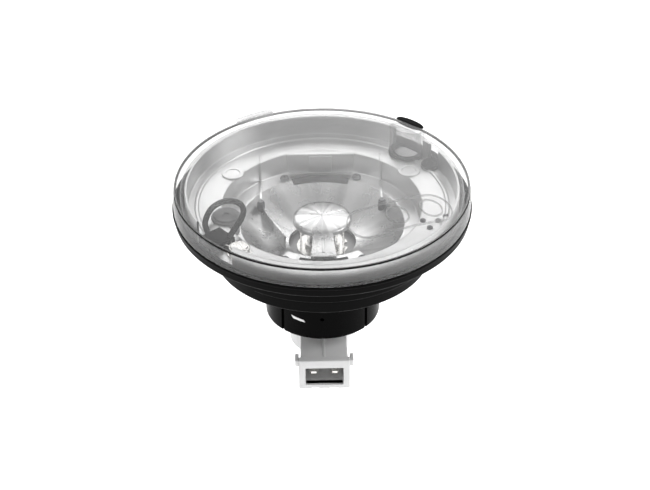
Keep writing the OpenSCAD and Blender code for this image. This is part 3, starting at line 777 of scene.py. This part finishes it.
def makeHousing():
    s = housingSize
    low, high = s["keyAngle"] - s["keyArc"] / 2, s["keyAngle"] + s["keyArc"] / 2
    stations = [360 * k / 240 for k in range(240)]
    for end, way in ((low, 1), (high, -1)):
        stations += [end + way * t for t in (-0.35, -0.1, 0.0, 0.12, 0.35, 0.6)]
    stations = sorted(set(round(a, 3) for a in stations))

    def keyed(r, z, a):
        if s["spigotEnd"] - 0.05 <= z < -0.4 and r > s["barrelRadius"] + 0.2:
            inside = min(a - low, high - a)
            if inside > 0:
                depth = s["keyDepth"] * min(1.0, inside / 0.35)
                return max(s["barrelRadius"] + 0.05, r - depth), z
        return r, z
    shell = spin("shell", housingOutline(), angles=stations, reshape=keyed)
    parts = [shell]
    for k in range(6):
        a = 30 + 60 * k
        rib = block("rib", (s["neckRadius"] - 0.1, -0.75, s["barrelEnd"] - s["ribDrop"]),
                    (s["ribReach"], 0.75, s["barrelEnd"] + 0.1), 0.25, turn=a)
        parts.append(rib)
    foot = s["floorHeight"] - 0.3
    for reach, a, top in s["screws"]:
        tower = [(0.8, foot), (1.9, foot), (1.9, top, 0.2), (0.8, top, 0.1)]
        parts.append(spin("boss", roundCorners(tower), 32, at=polar(a, reach)))
    finishPiece(gather("housingShell", parts), housingMaterial, "root", "black_plastic", "housing")


makeHousing()
print("housing made")


reflectorSize = {
    "bowlRadius": 29.2, "holeRadius": 12.0, "bowlRim": -1.4, "bowlLow": -9.5, "fieldRadius": 34.6,
    "annulus": 6.3, "outerRadius": 48.3, "sheet": 1.2, "slotArc": 41.0,
    "frontSlot": (23.2, 28.4), "rearSlot": (27.6, 32.3), "shelf": (21.4, 29.4, 69.0),
    "studAt": (21.7, 12.8), "studTop": -1.0, "ventAt": (39.4, 23.8), "membraneAt": (-33.7, -7.7),
    "cutoutAt": (-29.0, -30.0), "bracketAngle": 220.0,
    "rivetsAt": ((34.9, -11.7), (37.1, -16.2), (40.2, -11.9), (43.0, -9.2)),
}


def bowlHeight(r):
    s = reflectorSize
    k = (s["bowlRim"] - s["bowlLow"]) / (s["bowlRadius"] ** 2 - s["holeRadius"] ** 2)
    return s["bowlRim"] + k * (r * r - s["bowlRadius"] ** 2)


def plug(at, radius, low, high, count=40):
    return spin("cutter", [(0, low), (radius, low), (radius, high), (0, high)], count, at=at)


def slotCutter(angle, near, far):
    rim = reflectorSize["bowlRim"]
    ring = [(near, rim - 7), (far, rim - 7), (far, rim + 1), (near, rim + 1)]
    return arcBlock("slot", ring, angle, reflectorSize["slotArc"], 0.05, 28)


def makeReflector():
    s = reflectorSize
    steps = 22
    radii = [s["holeRadius"] + (s["bowlRadius"] - s["holeRadius"]) * k / steps for k in range(steps + 1)]
    outline = [(r, bowlHeight(r)) for r in radii[:-1]]
    low = s["bowlRim"] - s["sheet"]
    shoulder = roundCorners([
        (s["bowlRadius"] - 1.0, bowlHeight(s["bowlRadius"] - 1.0)), (s["bowlRadius"], s["bowlRim"], 0.7),
        (s["fieldRadius"], s["bowlRim"], 0.7), (s["fieldRadius"] + 0.6, s["annulus"], 0.5),
        (43.4, s["annulus"], 0.25), (43.7, s["annulus"] + 0.45, 0.25), (44.6, s["annulus"] + 0.45, 0.25),
        (44.9, s["annulus"], 0.25), (s["outerRadius"] - 1, s["annulus"], 0.5),
        (s["outerRadius"] - 0.8, 13.5, 0.12), (s["outerRadius"], 13.5, 0.2),
        (s["outerRadius"], s["annulus"] - s["sheet"], 0.4),
        (s["fieldRadius"] + 1.6, s["annulus"] - s["sheet"], 0.5), (s["fieldRadius"] + 1.0, low, 0.6),
        (s["bowlRadius"] + 0.9, low, 0.6),
    ])
    outline += shoulder[1:]
    outline += [(r + 0.9, bowlHeight(r) - s["sheet"]) for r in reversed(radii[:-1])]
    outline += [(s["holeRadius"] + 0.9, -10.8), (s["holeRadius"], -10.8)]
    body = spin("reflectorBody", outline, 240, smoothAngle=36)

    rim, base = s["bowlRim"], s["annulus"]
    inner, outer, arc = s["shelf"]
    ledge = roundCorners([(inner, rim - s["sheet"]), (outer, rim - s["sheet"]),
                          (outer, rim), (inner, rim, 0.25)])
    shelf = arcBlock("shelf", ledge, 270, arc, 0.2, 36)
    slots = [slotCutter(270, *s["frontSlot"]), slotCutter(90, *s["rearSlot"])]
    slots += [plug(polar(a, reach), 1.05, rim - 6, rim + 6, 24) for reach, a, _ in housingSize["screws"]]
    cutters = [plug((x, s["studAt"][1]), 1.45, -9, 6, 24) for x in (-s["studAt"][0], s["studAt"][0])]
    cutters.append(plug(lensSize["postAt"], lensSize["postRadius"] + 0.4, base - 0.1, 20, 48))
    cutters.append(plug(s["cutoutAt"], 3.8, base - 5, base + 2, 32))
    cutters.append(plug(s["cutoutAt"], 4.7, base - 0.1, 20, 32))
    cutters.append(plug(s["ventAt"], 2.0, base - 5, 20, 32))
    cutters.append(plug(s["ventAt"], 3.4, base - 0.1, 20, 32))
    cutters.append(plug(s["membraneAt"], 4.65, -0.2, 16, 40))
    reach = s["outerRadius"]
    cutters.append(block("cutter", (reach - 5.4, -12, base - 0.1), (reach + 2.6, 8, 18), 0,
                         turn=s["bracketAngle"]))
    cutAway(body, slots + cutters, angle=36)
    cutAway(shelf, [slotCutter(270, *s["frontSlot"])], angle=36)

    parts = [body, shelf]
    parts.append(block("wall", (-12.4, 32.6, rim - 0.2), (12.4, 36.0, base - 0.02), 0.5, 4))
    parts.append(block("panel", (-4.2, 32.1, rim + 0.6), (4.2, 33.1, base - 0.6), 0.3, 3))
    for x in (-s["studAt"][0], s["studAt"][0]):
        y = s["studAt"][1] + 1.6
        corners = [(x - 0.4, y), (x + 0.4, y), (x + 0.4, y + 13), (x - 0.4, y + 13)]
        parts.append(prism("fin", corners, rim - 3.8, rim + 0.7, 0.15))
        parts.append(block("rib", (x - 0.4, 26.4, rim + 0.4), (x + 0.4, 31.6, base + 0.7), 0.2))
    parts.append(block("slant", (-22.4, 14.8, -8.8), (0.1, 15.6, -3.2), 0.25,
                       turn=-66.9, pivot=(-22.4, 14.8)))
    for x in (-31.6, 31.6):
        disc = roundCorners([(0, base - 0.2), (4, base - 0.2), (4, base + 0.6, 0.3), (2.6, base + 0.6, 0.1),
                             (2.4, base + 0.3, 0.1), (0, base + 0.3)])
        parts.append(spin("disc", disc, 48, at=(x, 20.5)))
    finishPiece(gather("reflectorBowl", parts, 36), platedMaterial, "root", "plated", "reflector")


makeReflector()
print("reflector made")


shieldSize = {"capRadius": 10.4, "capHeight": 0.7, "strapWidth": 9.0, "strapEnd": 24.3}


def makeShield():
    s = shieldSize
    top, r = s["capHeight"], s["capRadius"]
    dome = [(r * k / 16, top + 0.9 - (r * k / 16) ** 2 / 112) for k in range(15)]
    rim = [(r - 0.35, top - 0.02), (r - 0.08, top - 0.3), (r, top - 0.7),
           (r, top - 1.6), (r - 0.6, top - 1.6), (r - 0.65, top - 0.8)]
    under = [(r * k / 16, top + 0.35 - (r * k / 16) ** 2 / 112) for k in range(14, -1, -1)]
    cap = spin("cap", dome + rim + under, 96, smoothAngle=40)
    w, end = s["strapWidth"] / 2, s["strapEnd"]
    corners = [(-w + 1, -r + 0.5), (-w, -end), (w, -end), (w - 1, -r + 0.5)]
    strap = prism("strap", corners, top - 0.9, top - 0.2, 0.18)
    foot = block("foot", (-w, -end, top - 4.5), (w, -end + 0.7, top - 0.5), 0.2)
    ridge = block("ridge", (-0.5, -end + 2.2, top - 0.4), (0.5, -r - 2.0, top + 0.05), 0.2)
    finishPiece(gather("glareShield", [cap, strap, foot, ridge], 40), platedMaterial, "root", "plated",
                "glare_shield")


bulbSize = {"radius": 5.5, "wall": 0.8, "bottom": -9.5, "domeCentre": -5.5}


def makeBulb():
    r, wall, bottom, dome = (bulbSize[k] for k in ("radius", "wall", "bottom", "domeCentre"))
    outer = [(0, bottom), (r - 0.6, bottom), (r - 0.15, bottom + 0.25), (r, bottom + 0.7)]
    outer += [(r * math.cos(math.radians(t)), dome + r * math.sin(math.radians(t))) for t in range(0, 91, 9)]
    inner = [((r - wall) * math.cos(math.radians(t)), dome + (r - wall) * math.sin(math.radians(t)))
             for t in range(90, -1, -9)]
    inner += [(r - wall, bottom + 2.4), (r - wall - 0.4, bottom + 2.0), (0, bottom + 2.0)]
    capsule = spin("capsule", outer + inner, 72, smoothAngle=40)
    foot = block("foot", (-4.5, -1.6, -11.1), (4.5, 1.6, -8.9), 0.4)
    finishPiece(gather("bulbCapsule", [capsule, foot], 40), bulbMaterial, "bulb_holder", "bulb_glass",
                "bulb_glass")


def makeSmallParts():
    s = reflectorSize
    top = s["annulus"]
    heads, rim = [], s["bowlRim"]
    for reach, a, _ in housingSize["screws"]:
        x, y = polar(a, reach)
        button = roundCorners([(0, rim), (1.7, rim, 0.1), (1.7, rim + 1.0, 0.45), (0, rim + 1.0)])
        head = spin("head", button, 40, at=(x, y))
        slots = [block("slot", (x - 1.1, y - 0.2, rim + 0.45), (x + 1.1, y + 0.2, rim + 3), 0,
                       turn=t, pivot=(x, y)) for t in (20, 110)]
        cutAway(head, slots)
        heads.append(head)
        shank = [(0, rim - 7), (0.5, rim - 7), (0.8, rim - 6.5), (0.8, rim + 0.1), (0, rim + 0.1)]
        heads.append(spin("shank", shank, 24, at=(x, y)))
    finishPiece(gather("reflectorScrews", heads), darkSteelMaterial, "root", "dark_steel", "reflector_screws")

    studs = []
    for x in (-s["studAt"][0], s["studAt"][0]):
        tip = s["studTop"]
        outline = roundCorners([(0, tip - 6), (1.4, tip - 6, 0.2), (1.4, tip, 0.25), (1.1, tip, 0.05),
                                (1.1, tip + 0.6, 0.3), (0, tip + 0.6)])
        studs.append(spin("stud", outline, 40, at=(x, s["studAt"][1])))
    finishPiece(gather("bowlStuds", studs), darkSteelMaterial, "root", "dark_steel", "bowl_studs")

    x, y = s["ventAt"]
    seat = top - 0.1
    vent = roundCorners([(0, seat - 1.3), (1.95, seat - 1.3, 0.2), (1.95, seat), (3.2, seat, 0.1),
                         (3.2, seat + 1.6, 0.5), (1.15, seat + 1.6, 0.25), (1.1, seat + 0.8, 0.1),
                         (0, seat + 0.8)])
    finishPiece(spin("ventPlug", vent, 56, at=(x, y)), rubberMaterial, "root", "black_rubber", "vent_plug")

    membrane = roundCorners([(0, 0.3), (4.6, 0.3, 0.2), (4.6, top), (5.3, top, 0.1), (5.3, top + 0.6, 0.25),
                             (4.6, top + 0.6, 0.1), (4.6, top + 1.5, 0.45), (1.0, top + 1.5, 0.3),
                             (0.9, top + 0.95, 0.1), (0, top + 0.9)])
    finishPiece(spin("membraneCap", membrane, 64, at=s["membraneAt"]), greyMaterial, "root", "grey_plastic",
                "membrane_cap")

    rivets = []
    for spot in s["rivetsAt"]:
        outline = roundCorners([(0, top), (1.1, top, 0.05), (1.1, top + 0.4, 0.2), (0.7, top + 0.45, 0.05),
                                (0.65, top + 0.8, 0.25), (0, top + 0.8)])
        rivets.append(spin("rivet", outline, 32, at=spot))
    finishPiece(gather("plateRivets", rivets), darkSteelMaterial, "root", "dark_steel", "plate_rivets")


cutoutSize = {
    "top": 9.5, "leadRadius": 1.05,
    "route": [(-39.6, -21.2, 8.3), (-40.9, -15.4, 8.9), (-39.9, -10.2, 9.7), (-37.9, -6.8, 10.5),
              (-34.7, -4.7, 11.0), (-31.2, -4.8, 11.2), (-28.6, -6.9, 11.2), (-27.6, -10.4, 11.0),
              (-28.2, -14.6, 10.6), (-29.8, -18.4, 10.1), (-31.5, -22.0, 9.4), (-32.6, -24.6, 8.6)],
}


def makeCutout():
    s = cutoutSize
    at, top = reflectorSize["cutoutAt"], s["top"]
    base = reflectorSize["annulus"] - 0.1
    can = roundCorners([(0, top - 5.4), (3.7, top - 5.4, 0.3), (3.7, base), (4.4, base, 0.05),
                        (4.4, base + 0.5, 0.2), (3.7, base + 0.5, 0.1), (3.7, top - 0.5, 0.55),
                        (3.1, top - 0.45, 0.1), (3.0, top, 0.25), (0, top)])
    finishPiece(spin("thermalCutout", can, 64, at=at), nickelMaterial, "root", "nickel", "thermal_cutout")
    lead = tubeAlong("cutoutLead", s["route"], s["leadRadius"])
    finishPiece(lead, sleeveMaterial, "root", "black_rubber", "cutout_lead")


makeShield()
makeBulb()
makeSmallParts()
makeCutout()
print("bulb, shield and small parts made")


collarSize = {
    "boreRadius": 17.1, "wallMiddle": -31.8,
    "fineSlots": (60, 72, 84, 96, 108, 120), "gripSlots": (225, 317.5),
    "lugBore": 14.5, "lugTop": -35.4, "lugArc": 40.0, "drop": 1.2, "turn": 45.0,
    "indexAngle": 243.4, "indexOutline": ((-2.9, -3.4), (2.2, -4.3), (2.9, -5.3), (-1.9, -4.6)),
}


def makeCollar():
    s = collarSize
    top, low = collarHigh.z, collarLow.z
    outline = roundCorners([(s["boreRadius"], low, 0.3), (collarRadius, low, 0.6), (collarRadius, top, 0.5),
                            (s["boreRadius"], top, 0.3)])
    marks = []
    for a in s["gripSlots"]:
        marks.append((a, 1.7, 0.7, low - 1, top + 1))
    for a in s["fineSlots"]:
        marks.append((a, 1.5, 0.5, low + 2, top - 2))
    stations = [360 * k / 200 for k in range(200)]
    for a, half, *_ in marks:
        stations += [a + side * (half + t) for side in (-1, 1) for t in (-0.35, -0.15, 0.0, 0.2)]
    stations = sorted(set(round(a, 3) for a in stations))
    spread = list(outline)
    # extra rows on the outside wall, so that the fine slots can end short of its edges
    outside = [i for i, (r, z) in enumerate(spread) if abs(r - collarRadius) < 1e-3]
    first = outside[-1] if spread[outside[-1]][1] < spread[outside[0]][1] else outside[0]
    rows = [low + 1.6, low + 1.9, low + 2.2, s["wallMiddle"], top - 2.2, top - 1.9, top - 1.6]
    spread[first + 1:first + 1] = [(collarRadius, z) for z in rows]

    def grooved(r, z, a):
        if r > collarRadius - 0.9:
            for centre, half, depth, zLow, zHigh in marks:
                inside = half - abs((a - centre + 180) % 360 - 180)
                if inside > -0.2 and zLow < z < zHigh:
                    cut = depth * max(0.0, min(1.0, (inside + 0.2) / 0.4))
                    return min(r, collarRadius - cut), z
        return r, z
    ring = spin("ring", spread, angles=stations, reshape=grooved)
    parts = [ring]
    arc = s["lugArc"]
    for k in range(3):
        for i in range(4):
            stepArc = arc * (1 - i / 4)
            high = s["lugTop"] - 0.15 - s["drop"] * stepArc / s["turn"]
            shelf = roundCorners([(s["lugBore"], low, 0.2), (17.4, low), (17.4, high),
                                  (s["lugBore"], high, 0.15)])
            parts.append(arcBlock("lug", shelf, 90 + 120 * k - (arc - stepArc) / 2, stepArc, 0.15, 16))
    return parts


def indexPlate(name, scale, depth, proud):
    # a slanting four-sided plate, bent round the collar, from depth inside its wall to proud of it
    corners = collarSize["indexOutline"]
    middle = (sum(x for x, z in corners) / 4, sum(z for x, z in corners) / 4)
    rows, faces, across, up = [], [], 10, 4
    for level in (-depth, proud):
        for j in range(up + 1):
            for i in range(across + 1):
                u, v = i / across, j / up
                spot = [(1 - v) * ((1 - u) * corners[0][n] + u * corners[1][n])
                        + v * ((1 - u) * corners[3][n] + u * corners[2][n]) for n in (0, 1)]
                x, z = (middle[n] + (spot[n] - middle[n]) * scale for n in (0, 1))
                turn = collarSize["indexAngle"] + math.degrees(x / collarRadius)
                rows.append(polar(turn, collarRadius + level) + (collarHigh.z + z,))
    width, layer = across + 1, (across + 1) * (up + 1)
    for j in range(up):
        for i in range(across):
            k = j * width + i
            faces.append((k, k + 1, k + width + 1, k + width))
            faces.append(tuple(layer + n for n in (k, k + width, k + width + 1, k + 1)))
    border = list(range(across)) + [j * width + across for j in range(up)]
    border += [up * width + i for i in range(across, 0, -1)] + [j * width for j in range(up, 0, -1)]
    for n, here in enumerate(border):
        ahead = border[(n + 1) % len(border)]
        faces.append((here, ahead, layer + ahead, layer + here))
    return meshPiece(name, rows, faces)


parts = makeCollar()
ring = parts.pop(0)
recess = indexPlate("recess", 1.0, 0.6, 2.0)
dimple = spin("dimple", [(0, 0), (0.7, 0), (0.7, 3), (0, 3)], 24)
dimple.data.transform(Matrix.Translation((-0.6 * mm, (-collarRadius + 2.5) * mm, (collarHigh.z - 3.5) * mm))
                      @ Matrix.Rotation(math.radians(90), 4, "X"))
cutAway(ring, [recess, dimple], angle=34)
finishPiece(gather("lockingCollar", [ring] + parts, 34), collarMaterial, "locking_collar", "collar_plastic",
            "locking_collar")
finishPiece(indexPlate("indexBar", 0.94, 0.6, 0.12), paintMaterial, "locking_collar", "white_plastic")
print("collar made")


plugSize = {
    "mouthY": -26.6, "rootY": -6.0, "width": 18.3, "top": -42.9, "bottom": -55.3,
    "mouthWidth": 13.6, "mouthTop": -46.1, "mouthHeight": 7.4, "mouthDepth": 11.0,
    "baseRadius": 11.9, "baseEnd": -51.6,
}


def makePlug():
    s = plugSize
    half, y = s["width"] / 2, s["mouthY"]
    stem = block("stem", (-half + 0.7, y + 1, s["bottom"] + 0.5),
                 (half - 0.7, s["rootY"], s["top"] - 0.4), 0.7, 4)
    lip = block("lip", (-half, y, s["bottom"]), (half, y + 2.8, s["top"]), 0.45, 4)
    parts = []
    for side in (-1, 1):
        ear = block("ear", (side * (half + 0.6) - 0.7, y + 0.8, s["top"] - 3),
                    (side * (half + 0.6) + 0.7, y + 5.3, s["top"] - 0.4), 0.3)
        parts.append(ear)
    parts.append(block("spine", (-0.4, y + 2, s["top"] - 1), (0.4, s["rootY"], s["top"] - 0.1), 0.15))
    for shell in (stem, lip):
        cutters = [block("mouth", (-s["mouthWidth"] / 2, y - 1, s["mouthTop"] - s["mouthHeight"]),
                         (s["mouthWidth"] / 2, y + s["mouthDepth"], s["mouthTop"]), 0.35, 3)]
        cutters += [block("notch", (side * 3.3 - 1.4, y - 1, s["bottom"] - 1),
                          (side * 3.3 + 1.4, y + 2.2, s["bottom"] + 0.5), 0.0) for side in (-1, 1)]
        seat = [(0, s["baseEnd"]), (s["baseRadius"], s["baseEnd"]), (s["baseRadius"], -5), (0, -5)]
        cutters.append(spin("seat", seat, 96))
        cutAway(shell, cutters)
    finishPiece(gather("plugShell", [stem, lip] + parts), whiteMaterial, "bulb_holder", "white_plastic",
                "plug_shell")


makePlug()
print("plug made")


kept = {
    "post_washer": rubberMaterial, "bulb_filament": tungstenMaterial, "bulb_pins": nickelMaterial,
    "bulb_base_disc": nickelMaterial, "base_spring_clip": nickelMaterial, "bulb_holder": whiteMaterial,
    "holder_seal": rubberMaterial,
    "contact_blade_left": tinnedMaterial, "contact_blade_right": tinnedMaterial,
    "terminal_strip_left": brassMaterial, "terminal_strip_right": brassMaterial,
    "cutout_bracket": rubberMaterial, "cutout_pins": nickelMaterial,
}
for name, material in kept.items():
    nodes[name].data.materials.clear()
    nodes[name].data.materials.append(material)

print("finishes given to the kept nodes")
